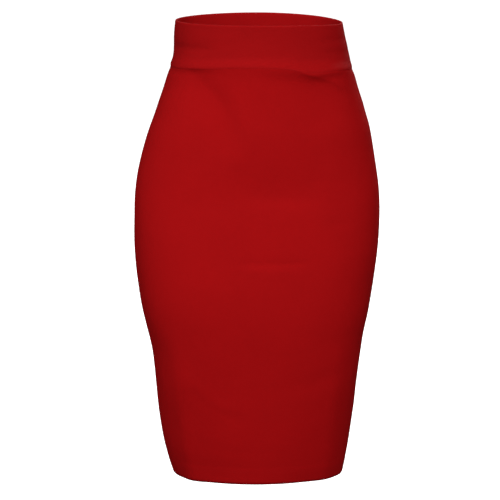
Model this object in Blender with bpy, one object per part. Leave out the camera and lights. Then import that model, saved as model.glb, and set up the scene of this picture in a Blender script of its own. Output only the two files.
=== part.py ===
"""High-waisted pencil skirt in plain stretch knit, filled out as worn, as a Blender 4.5 script.

Metres, +Z up. The front faces -Y and the wearer's left side is at +X. The origin is the centre
of the waistband's top edge, where the waist carries the skirt. Places on the cloth are given as
a maker marks them: across from the centre line, positive to the right of someone facing that
side of the skirt, and down from the waist edge.

Four pieces are sewn together, each one a shell of cloth: the front and back halves of the
folded waistband, and the front and back panels with their hem turned up inside.
"""

from collections import namedtuple

import bpy
import numpy as np

# Driving dimensions.
LENGTH = 0.690             # waist edge to hem edge
BAND_HEIGHT = 0.062        # finished height of the waistband at the centre line
CLOTH = 0.0012             # one layer of the knit
HEM_TURN = 0.022           # hem allowance, turned up inside
SIDE_SEAM_GAP = 0.0003     # between front and back pieces
SEAM_EDGE = 0.0020         # narrow column along each side seam, which keeps its edge square
WAIST_SEAM_GAP = 0.0009    # between the waistband and the panels

# The waist edge and the waist seam hang lower at the wearer's left and right side seams than at
# the centre line.
Sag = namedtuple("Sag", "left right")
EDGE_SAG = Sag(left=0.0045, right=0.0010)
SEAM_SAG = Sag(left=0.0120, right=0.0075)
SAG_FADE = 0.120           # the sag has died out this far below the waist seam

# Cross sections of the cloth's outer face. half_width is measured from the section's own centre,
# which the hips shift a little to one side. front and back are its depths from the side seams,
# and fullness squares it off between the axes.
Section = namedtuple("Section", "down half_width centre front back fullness")

BAND_SECTIONS = (
    Section(0.000, 0.1240, 0.0025, 0.0915, 0.0890, 0.000),
    Section(0.022, 0.1275, 0.0040, 0.0922, 0.0902, 0.000),
    Section(0.040, 0.1303, 0.0055, 0.0942, 0.0922, 0.004),
    Section(0.051, 0.1320, 0.0065, 0.0958, 0.0936, 0.007),
    Section(0.062, 0.1336, 0.0070, 0.0979, 0.0957, 0.010),
)

PANEL_SECTIONS = (
    Section(0.062, 0.1336, 0.0070, 0.0979, 0.0957, 0.010),
    Section(0.071, 0.1378, 0.0068, 0.0979, 0.0965, 0.010),
    Section(0.080, 0.1407, 0.0066, 0.0979, 0.0978, 0.009),
    Section(0.095, 0.1450, 0.0060, 0.0986, 0.1010, 0.005),
    Section(0.115, 0.1510, 0.0055, 0.1002, 0.1065, 0.002),
    Section(0.135, 0.1565, 0.0050, 0.1021, 0.1120, 0.000),
    Section(0.155, 0.1622, 0.0038, 0.1031, 0.1170, 0.000),
    Section(0.175, 0.1675, 0.0025, 0.1027, 0.1215, 0.000),
    Section(0.215, 0.1760, 0.0005, 0.1005, 0.1285, 0.005),
    Section(0.255, 0.1820, 0.0000, 0.1000, 0.1310, 0.015),
    Section(0.295, 0.1835, -0.0005, 0.1025, 0.1270, 0.030),
    Section(0.345, 0.1820, -0.0015, 0.1058, 0.1175, 0.043),
    Section(0.395, 0.1765, -0.0025, 0.1078, 0.1070, 0.052),
    Section(0.445, 0.1680, -0.0020, 0.1068, 0.0985, 0.060),
    Section(0.495, 0.1575, -0.0010, 0.1026, 0.0920, 0.062),
    Section(0.545, 0.1515, -0.0015, 0.0980, 0.0865, 0.050),
    Section(0.595, 0.1460, -0.0015, 0.0930, 0.0815, 0.025),
    Section(0.645, 0.1380, -0.0010, 0.0865, 0.0790, 0.008),
    Section(0.690, 0.1270, 0.0010, 0.0790, 0.0770, 0.000),
)

# The seam allowances inside the waistband push its lower edge out into a soft roll along the
# waist seam, which changes along the seam. drop is how far the seam line hangs below its even
# curve, crest how far the roll's crest lies above the seam line, roll its height, and upper and
# lower its widths above and below its crest.
SeamMark = namedtuple("SeamMark", "across drop crest roll upper lower")

FRONT_SEAM = (
    SeamMark(-0.200, 0.0000, 0.0030, 0.0014, 0.0090, 0.0055),
    SeamMark(-0.146, 0.0002, 0.0030, 0.0040, 0.0110, 0.0058),
    SeamMark(-0.120, 0.0005, 0.0028, 0.0038, 0.0100, 0.0056),
    SeamMark(-0.100, 0.0004, 0.0028, 0.0031, 0.0085, 0.0055),
    SeamMark(-0.080, 0.0002, 0.0028, 0.0026, 0.0075, 0.0065),
    SeamMark(-0.050, -0.0005, 0.0030, 0.0022, 0.0060, 0.0080),
    SeamMark(0.000, -0.0007, 0.0028, 0.0020, 0.0055, 0.0090),
    SeamMark(0.025, -0.0002, 0.0028, 0.0022, 0.0036, 0.0100),
    SeamMark(0.047, 0.0016, 0.0028, 0.0020, 0.0040, 0.0090),
    SeamMark(0.070, 0.0044, 0.0028, 0.0030, 0.0070, 0.0090),
    SeamMark(0.095, 0.0018, 0.0028, 0.0040, 0.0080, 0.0130),
    SeamMark(0.120, -0.0007, 0.0028, 0.0042, 0.0070, 0.0130),
    SeamMark(0.140, -0.0012, 0.0028, 0.0032, 0.0060, 0.0120),
    SeamMark(0.200, 0.0000, 0.0028, 0.0009, 0.0050, 0.0060),
)

BACK_SEAM = (
    SeamMark(-0.200, 0.0000, 0.0030, 0.0010, 0.0060, 0.0050),
    SeamMark(-0.160, 0.0005, 0.0028, 0.0022, 0.0080, 0.0050),
    SeamMark(-0.100, 0.0000, 0.0028, 0.0018, 0.0070, 0.0080),
    SeamMark(-0.040, -0.0006, 0.0030, 0.0026, 0.0085, 0.0060),
    SeamMark(0.030, -0.0004, 0.0028, 0.0028, 0.0080, 0.0055),
    SeamMark(0.090, 0.0010, 0.0028, 0.0018, 0.0060, 0.0090),
    SeamMark(0.155, 0.0002, 0.0028, 0.0024, 0.0080, 0.0060),
    SeamMark(0.200, 0.0000, 0.0030, 0.0010, 0.0060, 0.0050),
)

DROP_FADE = 0.060          # the drop has died out this far below the waist seam

# Folds, which run on over the waist seam. Each goes from one mark on the cloth to another and
# dies away at both ends. bow is how far its middle lies below the straight line, rise is how far
# it stands out (or in, where it is negative), and upper and lower are its widths: the distances
# above and below its crest to where a third of the rise is left.
Fold = namedtuple("Fold", "across down to_across to_down bow rise upper lower")

FRONT_FOLDS = (
    # across the waistband
    Fold(-0.190, 0.035, -0.055, 0.036, -0.002, -0.0012, 0.0060, 0.0070),
    Fold(0.080, 0.020, 0.185, 0.022, 0.000, -0.0006, 0.0045, 0.0050),
    Fold(0.085, 0.036, 0.185, 0.037, 0.001, -0.0006, 0.0040, 0.0060),
    Fold(-0.010, 0.045, 0.150, 0.046, 0.000, -0.0016, 0.0220, 0.0080),
    # the cloth puffed out along the seam by a drag line from the wearer's left side
    Fold(-0.030, 0.0585, 0.175, 0.0590, 0.000, 0.0027, 0.0055, 0.0480),
    Fold(0.005, 0.0545, 0.165, 0.103, -0.0100, 0.0016, 0.0220, 0.0050),
    # a broad trough down from the waist seam, beside the wearer's right hip bone
    Fold(-0.145, 0.050, -0.030, 0.200, -0.028, -0.0035, 0.0200, 0.0290),
    # a shallow dip inside the wearer's left hip bone
    Fold(-0.050, 0.144, 0.140, 0.150, 0.000, -0.0024, 0.0360, 0.0560),
    # the hollow under the tummy
    Fold(-0.050, 0.248, 0.115, 0.254, 0.000, -0.0018, 0.0360, 0.0160),
    # drag lines across the lower thighs
    Fold(-0.130, 0.505, -0.012, 0.590, 0.014, 0.0007, 0.0150, 0.0130),
    Fold(0.035, 0.540, 0.165, 0.508, 0.004, -0.0007, 0.0130, 0.0150),
    # the edges along which the cloth turns back from the thighs
    Fold(-0.130, 0.440, -0.086, 0.830, 0.000, 0.0024, 0.0200, 0.0160),
    Fold(0.135, 0.440, 0.092, 0.830, 0.000, 0.0018, 0.0180, 0.0200),
)

BACK_FOLDS = (
    # across the waistband
    Fold(-0.180, 0.028, -0.030, 0.033, 0.003, -0.0010, 0.0055, 0.0060),
    Fold(0.045, 0.034, 0.180, 0.030, 0.002, -0.0010, 0.0055, 0.0060),
    # drag lines from both sides
    Fold(-0.165, 0.092, 0.000, 0.058, -0.007, 0.0014, 0.0070, 0.0070),
    Fold(-0.165, 0.101, 0.000, 0.061, -0.007, -0.0012, 0.0060, 0.0170),
    Fold(0.015, 0.058, 0.160, 0.094, -0.008, 0.0013, 0.0070, 0.0070),
    Fold(0.015, 0.061, 0.160, 0.103, -0.008, -0.0012, 0.0060, 0.0170),
    # the hollow of the back
    Fold(-0.105, 0.112, 0.095, 0.108, 0.010, -0.0016, 0.0120, 0.0170),
    # under the seat, and down towards the hem
    Fold(-0.170, 0.345, -0.015, 0.385, 0.010, -0.0016, 0.0140, 0.0180),
    Fold(0.025, 0.380, 0.165, 0.342, 0.010, -0.0016, 0.0140, 0.0180),
    Fold(-0.115, 0.592, 0.025, 0.530, -0.006, 0.0010, 0.0150, 0.0140),
)

# Rows of the cloth grids, closer together where the folds are sharp.
Stretch = namedtuple("Stretch", "start end rows")
HEM_STEP = 0.0010          # height of the step where the turned-up hem ends

BAND_FRONT_ROWS = (Stretch(0.0, 0.036, 8), Stretch(0.041, BAND_HEIGHT, 7))
BAND_BACK_ROWS = (Stretch(0.0, 0.042, 7), Stretch(0.047, BAND_HEIGHT, 4))

PANEL_TOP = BAND_HEIGHT + WAIST_SEAM_GAP
HEM_TOP = LENGTH - HEM_TURN
PANEL_FRONT_ROWS = (
    Stretch(PANEL_TOP, 0.098, 11),
    Stretch(0.104, 0.160, 8),
    Stretch(0.175, HEM_TOP - HEM_STEP, 32),
    Stretch(HEM_TOP, LENGTH, 2),
)
PANEL_BACK_ROWS = (
    Stretch(PANEL_TOP, 0.098, 9),
    Stretch(0.108, 0.160, 6),
    Stretch(0.180, HEM_TOP - HEM_STEP, 23),
    Stretch(HEM_TOP, LENGTH, 2),
)
FRONT_COLUMNS = 41
BACK_COLUMNS = 31

# Side seams lie at these angles round a section, counted from the wearer's left.
LEFT_SEAM = 0.0
RIGHT_SEAM = np.pi
TRACE_POINTS = 361         # fine points along a section, to measure the cloth's length

RED_KNIT = (0.390, 0.006, 0.008, 1.0)
KNIT_ROUGHNESS = 0.80


def spline(knots, values, at):
    """Natural cubic spline through values at knots, read at the given places."""
    gap = np.diff(knots)
    slope = np.diff(values) / gap
    count = len(knots)
    matrix = np.eye(count)
    right = np.zeros(count)
    inner = np.arange(1, count - 1)
    matrix[inner, inner - 1] = gap[:-1]
    matrix[inner, inner] = 2 * (gap[:-1] + gap[1:])
    matrix[inner, inner + 1] = gap[1:]
    right[inner] = 6 * np.diff(slope)
    bend = np.linalg.solve(matrix, right)
    span = np.clip(np.searchsorted(knots, at) - 1, 0, count - 2)
    step = at - knots[span]
    width = gap[span]
    start_slope = slope[span] - width * (2 * bend[span] + bend[span + 1]) / 6
    curl = (bend[span + 1] - bend[span]) / (6 * width)
    return values[span] + step * (start_slope + step * (bend[span] / 2 + step * curl))


def sections_at(sections, downs):
    """A smooth Section through the table, with an array in each column."""
    table = np.array(sections)
    columns = [spline(table[:, 0], table[:, i], downs) for i in range(1, table.shape[1])]
    return Section(downs, *columns)


def rows_from(stretches):
    """Depths of a grid's rows, evenly spaced within each stretch."""
    return np.concatenate([np.linspace(s.start, s.end, s.rows) for s in stretches])


def fade(value):
    """Smooth step from 0 to 1."""
    t = np.clip(value, 0.0, 1.0)
    return t * t * (3 - 2 * t)


def section_outline(section, angles):
    """x and y round each section: an ellipse with its own front and back, filled out diagonally."""
    along = np.cos(angles)
    depth = np.sin(angles)
    reach = 1 + section.fullness[:, None] * np.sin(2 * angles) ** 2
    side = np.where(depth > 0, section.back[:, None], section.front[:, None])
    return section.centre[:, None] + section.half_width[:, None] * along * reach, side * depth * reach


def sag(down, angles):
    """How far the cloth hangs below its level: full at the side seams, none at the centre line."""
    down = down[:, None]
    edge = np.where(np.cos(angles) > 0, EDGE_SAG.left, EDGE_SAG.right)
    seam = np.where(np.cos(angles) > 0, SEAM_SAG.left, SEAM_SAG.right)
    on_band = edge + (seam - edge) * down / BAND_HEIGHT
    on_panel = seam * (1 - fade((down - BAND_HEIGHT) / SAG_FADE))
    return np.where(down < BAND_HEIGHT, on_band, on_panel) * np.cos(angles) ** 2


def cloth_grid(sections, downs, first_seam, columns):
    """Points on the cloth from one side seam to the next, and how far across each one lies.

    The columns are evenly spaced along the cloth of each row, apart from a narrow one at each
    side seam, where the cloth stops half a seam gap short.
    """
    section = sections_at(sections, downs)
    trace = np.linspace(first_seam, first_seam + np.pi, TRACE_POINTS)[None]
    x, y = section_outline(section, trace)
    steps = np.hypot(np.diff(x, axis=1), np.diff(y, axis=1))
    length = np.concatenate([np.zeros((len(downs), 1)), np.cumsum(steps, axis=1)], axis=1)
    half = length[:, -1:] / 2
    even = np.linspace(-1, 1, columns - 2)[None] * (half - SEAM_EDGE)
    edge = half - SIDE_SEAM_GAP / 2
    across = np.concatenate([-edge, even, edge], axis=1)
    angles = np.array([np.interp(a, run, trace[0]) for a, run in zip(across + half, length)])
    x, y = section_outline(section, angles)
    z = -(downs[:, None] + sag(downs, angles))
    return np.stack([x, y, z], axis=-1), across


def outward(points):
    """Unit normals of a grid whose rows run down and whose columns run to the right."""
    down = np.gradient(points, axis=0)
    right = np.gradient(points, axis=1)
    normal = np.cross(down, right)
    return normal / np.linalg.norm(normal, axis=-1, keepdims=True)


def bell(offset, upper, lower):
    """Height of a bell at an offset from its crest, with its own width above and below it."""
    return np.exp(-(offset / np.where(offset < 0, upper, lower)) ** 2)


def fold_relief(folds, across, down):
    """Height of all folds at each place: a bell across each fold, faded at both of its ends."""
    height = np.zeros(across.shape)
    for fold in folds:
        run = np.array([fold.to_across - fold.across, fold.to_down - fold.down])
        length = np.hypot(*run)
        run = run / length
        right, below = across - fold.across, down - fold.down
        along = (right * run[0] + below * run[1]) / length
        off = below * run[0] - right * run[1] - fold.bow * 4 * along * (1 - along)
        ends = fade(3 * along) * fade(3 * (1 - along))
        height += fold.rise * ends * bell(off, fold.upper, fold.lower)
    return height


def read_marks(marks, across):
    """A smooth SeamMark through the table, with an array in each column."""
    table = np.array(marks)
    reach = np.clip(across, table[0, 0], table[-1, 0])
    columns = [spline(table[:, 0], table[:, i], reach) for i in range(1, table.shape[1])]
    return SeamMark(across, *columns)


def roll_relief(marks, across, down):
    """Height of the roll along the waist seam."""
    mark = read_marks(marks, across)
    return mark.roll * bell(down - BAND_HEIGHT + mark.crest, mark.upper, mark.lower)


def seam_drop(marks, across, down):
    """How far the cloth hangs lower near the waist seam: less and less towards both edges."""
    above = down / BAND_HEIGHT
    below = 1 - fade((down - BAND_HEIGHT) / DROP_FADE)
    return read_marks(marks, across).drop * np.where(down < BAND_HEIGHT, above, below)


def knit_material():
    """Matt red knit."""
    material = bpy.data.materials.new("red knit")
    material.use_nodes = True
    shader = material.node_tree.nodes["Principled BSDF"]
    shader.inputs["Base Color"].default_value = RED_KNIT
    shader.inputs["Roughness"].default_value = KNIT_ROUGHNESS
    shader.inputs["Metallic"].default_value = 0.0
    material.diffuse_color = RED_KNIT
    return material


def grid_mesh(name, points):
    """A mesh of quads over a grid of points, facing out."""
    rows, columns = points.shape[:2]
    index = np.arange(rows * columns).reshape(rows, columns)
    quads = np.stack([index[:-1, :-1], index[1:, :-1], index[1:, 1:], index[:-1, 1:]], axis=-1)
    mesh = bpy.data.meshes.new(name)
    mesh.from_pydata(points.reshape(-1, 3).tolist(), [], quads.reshape(-1, 4).tolist())
    mesh.shade_smooth()
    return mesh


def sewn_piece(name, points, doubled, parent):
    """A shell of cloth with the grid as its outer face, twice as thick on the doubled rows."""
    mesh = grid_mesh(name, points)
    mesh.materials.append(knit_material())
    piece = bpy.data.objects.new(name, mesh)
    piece.parent = parent
    bpy.context.scene.collection.objects.link(piece)

    columns = points.shape[1]
    turned = piece.vertex_groups.new(name="doubled cloth")
    rows = np.flatnonzero(doubled)[:, None]
    turned.add((rows * columns + np.arange(columns)).ravel().tolist(), 1.0, "REPLACE")

    wall = piece.modifiers.new("cloth thickness", "SOLIDIFY")
    wall.thickness = 2 * CLOTH
    wall.thickness_vertex_group = 0.5
    wall.vertex_group = turned.name
    wall.offset = -1.0
    wall.use_even_offset = True
    return piece


def sewn_half(name, sections, stretches, first_seam, columns, marks, folds, parent):
    """The front or back of the waistband or of the skirt below it, with its roll and folds.

    The waistband is doubled all over, and a skirt panel at its turned-up hem.
    """
    downs = rows_from(stretches)
    points, across = cloth_grid(sections, downs, first_seam, columns)
    down = downs[:, None]
    points[..., 2] -= seam_drop(marks, across, down)
    relief = roll_relief(marks, across, down) + fold_relief(folds, across, down)
    points = points + outward(points) * relief[..., None]
    doubled = (downs <= BAND_HEIGHT) | (downs > HEM_TOP - HEM_STEP / 2)
    return sewn_piece(name, points, doubled, parent)


def build_skirt():
    """The whole skirt, its pieces parented to an empty at the waist."""
    skirt = bpy.data.objects.new("pencil skirt", None)
    bpy.context.scene.collection.objects.link(skirt)
    front = (RIGHT_SEAM, FRONT_COLUMNS, FRONT_SEAM, FRONT_FOLDS, skirt)
    back = (LEFT_SEAM, BACK_COLUMNS, BACK_SEAM, BACK_FOLDS, skirt)
    sewn_half("waistband_front", BAND_SECTIONS, BAND_FRONT_ROWS, *front)
    sewn_half("waistband_back", BAND_SECTIONS, BAND_BACK_ROWS, *back)
    sewn_half("skirt_front", PANEL_SECTIONS, PANEL_FRONT_ROWS, *front)
    sewn_half("skirt_back", PANEL_SECTIONS, PANEL_BACK_ROWS, *back)


for old in list(bpy.data.objects):
    bpy.data.objects.remove(old, do_unlink=True)

build_skirt()
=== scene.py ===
"""A red stretch-knit pencil skirt, filled out as worn: its cloth, sewing, light and camera.

Places on the cloth are given as a maker marks them: across from the centre line of the front or
the back, positive to the right of someone facing that side, and down from the waist edge, both
in metres. Depth is counted inwards from the cloth's outer face.
"""

import math
from collections import namedtuple

import bpy
import numpy as np
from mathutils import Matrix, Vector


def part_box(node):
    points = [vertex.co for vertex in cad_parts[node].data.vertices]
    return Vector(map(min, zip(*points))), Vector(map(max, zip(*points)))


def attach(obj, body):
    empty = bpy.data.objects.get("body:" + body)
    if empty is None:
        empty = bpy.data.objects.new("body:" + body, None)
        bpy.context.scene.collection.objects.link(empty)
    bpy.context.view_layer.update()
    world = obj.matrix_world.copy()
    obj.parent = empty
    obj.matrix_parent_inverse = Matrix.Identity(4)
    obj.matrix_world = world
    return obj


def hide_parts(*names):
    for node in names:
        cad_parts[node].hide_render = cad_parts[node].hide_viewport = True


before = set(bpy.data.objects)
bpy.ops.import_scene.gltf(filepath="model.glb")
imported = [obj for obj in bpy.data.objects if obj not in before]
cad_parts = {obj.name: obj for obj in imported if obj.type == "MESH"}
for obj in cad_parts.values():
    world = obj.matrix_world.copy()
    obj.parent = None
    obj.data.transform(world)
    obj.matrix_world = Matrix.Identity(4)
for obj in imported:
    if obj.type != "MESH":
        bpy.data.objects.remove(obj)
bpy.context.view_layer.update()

# ---------------------------------------------------------------- sizes

LENGTH = -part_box("skirt_front")[0].z   # waist edge to hem edge
BAND_HEIGHT = 0.0620                   # waist edge to waist seam, at the centre line
CLOTH = 0.0012                         # one layer of the knit
LAYER_GAP = 0.0003                     # air between two layers that are folded together
HEM_TURN = 0.0220                      # hem allowance turned up inside
TURNED_EDGE = LENGTH - HEM_TURN        # down to its cut edge

Sag = namedtuple("Sag", "left right")  # how far an edge hangs lower at the wearer's side seams
EDGE_SAG = Sag(left=0.0045, right=0.0010)
SEAM_SAG = Sag(left=0.0120, right=0.0075)
SAG_FADE = 0.1200                      # from the waist seam down to where its sag has died away

# The cloth's outer face at each depth below the waist: half the width and where its middle lies,
# how far the front and back stand from the side seams, and how squared-off the section is.
Section = namedtuple("Section", "down half_width centre front back fullness")

BAND_SECTIONS = (
    Section(0.000, 0.1240, 0.0025, 0.0915, 0.0890, 0.000),
    Section(0.022, 0.1275, 0.0040, 0.0922, 0.0902, 0.000),
    Section(0.040, 0.1299, 0.0059, 0.0942, 0.0922, 0.004),
    Section(0.051, 0.1316, 0.0067, 0.0958, 0.0936, 0.007),
    Section(0.062, 0.1343, 0.0064, 0.0979, 0.0957, 0.010),
)

PANEL_SECTIONS = (
    Section(0.062, 0.1343, 0.0064, 0.0979, 0.0957, 0.010),
    Section(0.071, 0.1382, 0.0062, 0.0979, 0.0965, 0.010),
    Section(0.080, 0.1410, 0.0060, 0.0979, 0.0978, 0.009),
    Section(0.095, 0.1450, 0.0057, 0.0986, 0.1010, 0.005),
    Section(0.115, 0.1510, 0.0055, 0.1002, 0.1065, 0.002),
    Section(0.135, 0.1565, 0.0050, 0.1021, 0.1120, 0.000),
    Section(0.155, 0.1625, 0.0043, 0.1031, 0.1170, 0.000),
    Section(0.175, 0.1677, 0.0028, 0.1027, 0.1215, 0.000),
    Section(0.215, 0.1760, 0.0005, 0.1005, 0.1285, 0.005),
    Section(0.255, 0.1820, 0.0000, 0.1000, 0.1310, 0.015),
    Section(0.295, 0.1835, -0.0005, 0.1025, 0.1270, 0.030),
    Section(0.345, 0.1820, -0.0015, 0.1058, 0.1175, 0.043),
    Section(0.395, 0.1765, -0.0025, 0.1078, 0.1070, 0.052),
    Section(0.445, 0.1682, -0.0022, 0.1068, 0.0985, 0.060),
    Section(0.470, 0.1623, -0.0018, 0.1049, 0.0951, 0.062),
    Section(0.495, 0.1576, -0.0010, 0.1026, 0.0920, 0.062),
    Section(0.520, 0.1544, -0.0009, 0.1003, 0.0892, 0.058),
    Section(0.545, 0.1517, -0.0012, 0.0980, 0.0865, 0.050),
    Section(0.595, 0.1460, -0.0015, 0.0930, 0.0815, 0.025),
    Section(0.645, 0.1382, -0.0011, 0.0865, 0.0790, 0.008),
    Section(0.690, 0.1273, 0.0010, 0.0790, 0.0770, 0.000),
)

# Seams. The allowances inside the waistband push its lower edge out into a soft roll, and the
# cloth is drawn in along the seam line. Both change along the seam: drop is how far the seam
# line hangs below its even curve, crest how far the roll's crest lies above the seam line, roll
# its height, upper and lower its widths above and below its crest, and ditch the ditch's depth.
SeamMark = namedtuple("SeamMark", "across drop crest roll upper lower ditch")

FRONT_SEAM = (
    SeamMark(-0.200, 0.0000, 0.0030, 0.0000, 0.0090, 0.0055, 0.0003),
    SeamMark(-0.146, 0.0004, 0.0030, 0.0032, 0.0110, 0.0070, 0.0004),
    SeamMark(-0.120, 0.0009, 0.0028, 0.0038, 0.0100, 0.0070, 0.0006),
    SeamMark(-0.100, 0.0010, 0.0025, 0.0036, 0.0085, 0.0066, 0.0007),
    SeamMark(-0.080, 0.0006, 0.0025, 0.0029, 0.0075, 0.0070, 0.0004),
    SeamMark(-0.050, -0.0005, 0.0030, 0.0018, 0.0060, 0.0080, 0.0003),
    SeamMark(0.000, -0.0007, 0.0025, 0.0016, 0.0055, 0.0090, 0.0002),
    SeamMark(0.025, -0.0002, 0.0014, 0.0027, 0.0036, 0.0110, 0.0002),
    SeamMark(0.047, 0.0016, 0.0006, 0.0030, 0.0045, 0.0110, 0.0000),
    SeamMark(0.070, 0.0044, 0.0002, 0.0040, 0.0070, 0.0110, 0.0000),
    SeamMark(0.095, 0.0020, 0.0008, 0.0037, 0.0080, 0.0095, 0.0000),
    SeamMark(0.120, -0.0004, 0.0012, 0.0042, 0.0080, 0.0085, 0.0002),
    SeamMark(0.140, -0.0010, 0.0016, 0.0027, 0.0070, 0.0085, 0.0003),
    SeamMark(0.200, 0.0000, 0.0025, 0.0000, 0.0050, 0.0060, 0.0004),
)
BACK_SEAM = (
    SeamMark(-0.200, 0.0000, 0.0030, 0.0002, 0.0060, 0.0050, 0.0002),
    SeamMark(-0.160, 0.0005, 0.0028, 0.0014, 0.0080, 0.0050, 0.0006),
    SeamMark(-0.100, 0.0000, 0.0026, 0.0018, 0.0070, 0.0080, 0.0002),
    SeamMark(-0.040, -0.0006, 0.0030, 0.0026, 0.0085, 0.0060, 0.0004),
    SeamMark(0.030, -0.0004, 0.0028, 0.0028, 0.0080, 0.0055, 0.0006),
    SeamMark(0.090, 0.0010, 0.0020, 0.0018, 0.0060, 0.0090, 0.0001),
    SeamMark(0.155, 0.0002, 0.0028, 0.0024, 0.0080, 0.0060, 0.0006),
    SeamMark(0.200, 0.0000, 0.0030, 0.0010, 0.0060, 0.0050, 0.0002),
)
DROP_FADE = 0.0600          # from the seam line down to where its drop has died away
SEAM_LEVEL = 0.0120         # to both sides of the seam line, where the relief turns level
DITCH_BELOW = 0.0006        # from the seam line down to the bottom of the ditch
DITCH_WIDTH = 0.0018        # of the ditch above its bottom
DITCH_RECOVERY = 0.0045     # and below it
SIDE_DITCH = 0.0006         # depth of the ditch along a side seam
SIDE_DITCH_WIDTH = 0.0018

# The hem.
HEM_STAND = 0.0002          # how far the doubled cloth stands out
HEM_STEP = 0.0040           # height over which it comes to do so
HEM_STEP_ABOVE = 0.0055     # from the top of that step down to the cut edge inside
HEM_LEAN = 0.0003           # how far it leans in again towards its lower edge
HEM_ROUND = 0.0014          # how far the lower edge is rounded in
HEM_ROUND_WIDTH = 0.0024

# A fold runs from one mark to another and dies away at both ends. bow is how far its middle lies
# below the straight line, rise how far it stands out (in, if negative), and upper and lower are
# its widths above and below its crest.
Fold = namedtuple("Fold", "across down to_across to_down bow rise upper lower")

FRONT_FOLDS = (
    # waistband
    Fold(-0.190, 0.035, -0.055, 0.036, -0.002, -0.0012, 0.0060, 0.0070),
    Fold(-0.120, 0.015, -0.020, 0.018, 0.002, 0.0003, 0.0060, 0.0070),
    Fold(0.080, 0.020, 0.185, 0.022, 0.000, -0.0006, 0.0045, 0.0050),
    Fold(0.085, 0.036, 0.185, 0.037, 0.001, -0.0006, 0.0040, 0.0060),
    Fold(-0.018, 0.008, -0.010, 0.054, 0.000, -0.0002, 0.0040, 0.0030),
    Fold(-0.010, 0.045, 0.150, 0.046, 0.000, -0.0016, 0.0220, 0.0080),
    # the cloth puffed out along the seam by a drag line from the wearer's left side
    Fold(-0.110, 0.0605, 0.175, 0.0610, 0.000, 0.0025, 0.0080, 0.0340),
    Fold(0.005, 0.0530, 0.165, 0.111, -0.0128, 0.0015, 0.0220, 0.0050),
    # a broad trough down from the waist seam, beside the wearer's right hip bone
    Fold(-0.145, 0.050, -0.028, 0.205, -0.026, -0.0032, 0.0165, 0.0400),
    Fold(-0.130, 0.165, -0.020, 0.165, 0.000, -0.0026, 0.0450, 0.0450),
    # a shallow dip inside the wearer's left hip bone
    Fold(-0.050, 0.144, 0.140, 0.150, 0.000, -0.0030, 0.0360, 0.0560),
    # the hollow under the tummy
    Fold(-0.050, 0.248, 0.115, 0.254, 0.000, -0.0018, 0.0360, 0.0160),
    Fold(0.060, 0.226, 0.150, 0.229, 0.002, -0.0003, 0.0060, 0.0050),
    # short creases across the thighs
    Fold(-0.050, 0.348, 0.098, 0.349, 0.001, -0.0007, 0.0050, 0.0060),
    Fold(-0.040, 0.359, 0.085, 0.360, 0.001, 0.0004, 0.0070, 0.0080),
    Fold(0.092, 0.296, 0.160, 0.291, 0.000, -0.0004, 0.0050, 0.0060),
    Fold(-0.130, 0.505, -0.012, 0.590, 0.014, 0.0007, 0.0150, 0.0130),
    Fold(-0.115, 0.530, -0.005, 0.590, 0.012, -0.0006, 0.0060, 0.0080),
    Fold(0.035, 0.540, 0.165, 0.508, 0.004, -0.0007, 0.0130, 0.0150),
    Fold(-0.100, 0.628, 0.010, 0.640, 0.004, -0.0003, 0.0080, 0.0060),
    # the hem turned out a little
    Fold(-0.150, 0.688, 0.060, 0.692, 0.000, 0.0014, 0.0150, 0.0100),
    Fold(0.040, 0.690, 0.152, 0.690, 0.000, -0.0008, 0.0200, 0.0100),
    # the edges along which the cloth turns back from the thighs
    Fold(-0.130, 0.440, -0.086, 0.830, 0.000, 0.0024, 0.0200, 0.0160),
    Fold(0.135, 0.440, 0.092, 0.830, 0.000, 0.0018, 0.0180, 0.0200),
)

BACK_FOLDS = (
    # waistband
    Fold(-0.180, 0.028, -0.030, 0.033, 0.003, -0.0010, 0.0050, 0.0060),
    Fold(-0.160, 0.040, -0.020, 0.043, 0.003, 0.0005, 0.0070, 0.0060),
    Fold(0.045, 0.034, 0.180, 0.030, 0.002, -0.0010, 0.0050, 0.0060),
    Fold(0.060, 0.018, 0.170, 0.015, 0.002, -0.0004, 0.0060, 0.0050),
    # drag lines from both sides, and the cloth above them
    Fold(-0.165, 0.092, 0.000, 0.058, -0.007, 0.0016, 0.0055, 0.0045),
    Fold(-0.165, 0.100, 0.000, 0.060, -0.007, -0.0010, 0.0040, 0.0160),
    Fold(0.015, 0.058, 0.160, 0.094, -0.008, 0.0014, 0.0055, 0.0045),
    Fold(0.015, 0.060, 0.160, 0.102, -0.008, -0.0010, 0.0040, 0.0160),
    # the hollow of the back
    Fold(-0.105, 0.112, 0.095, 0.108, 0.010, -0.0016, 0.0110, 0.0170),
    Fold(-0.070, 0.136, 0.060, 0.131, 0.012, 0.0006, 0.0120, 0.0140),
    # under the seat, and down to the hem
    Fold(-0.170, 0.345, -0.015, 0.385, 0.010, -0.0016, 0.0130, 0.0180),
    Fold(0.025, 0.380, 0.165, 0.342, 0.010, -0.0016, 0.0130, 0.0180),
    Fold(-0.060, 0.432, 0.075, 0.440, 0.006, -0.0006, 0.0100, 0.0120),
    Fold(-0.115, 0.592, 0.025, 0.530, -0.006, 0.0010, 0.0150, 0.0130),
    Fold(0.020, 0.585, 0.130, 0.625, 0.006, -0.0007, 0.0110, 0.0140),
)

# The knit is never quite even: low swells in many directions, between two lengths.
SWELLS = 48
SWELL_SHORT = 0.0220
SWELL_LONG = 0.1100
SWELL_RISE = 0.00005
SWELL_SEED = 11

# ---------------------------------------------------------------- curves and folds


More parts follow.
